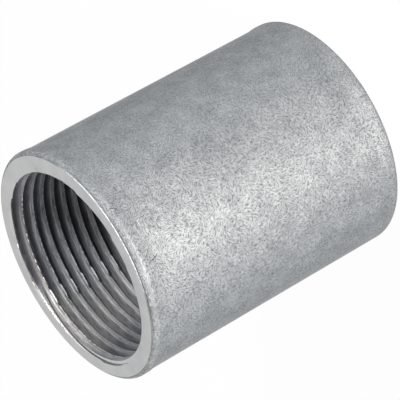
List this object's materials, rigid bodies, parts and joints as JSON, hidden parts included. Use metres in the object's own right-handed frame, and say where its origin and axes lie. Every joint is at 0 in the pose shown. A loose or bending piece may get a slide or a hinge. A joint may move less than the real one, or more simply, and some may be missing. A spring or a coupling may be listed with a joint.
{
  "type": "threaded conduit coupling",
  "caption": "Short galvanised steel tube, threaded inside from end to end, that joins two lengths of threaded steel conduit in line.",
  "frame": {"origin": "middle of the end face that the coupling stands on", "axes": "+Z along the tube's axis, up through the other end"},
  "size_m": [0.0286, 0.0286, 0.036],
  "materials": {
    "galvanised_steel": "dull hot-dip galvanised coat with a fine crystalline mottle, threads dark inside"
  },
  "bodies": {
    "root": {"coupling_body": "galvanised_steel"}
  },
  "joints": []
}
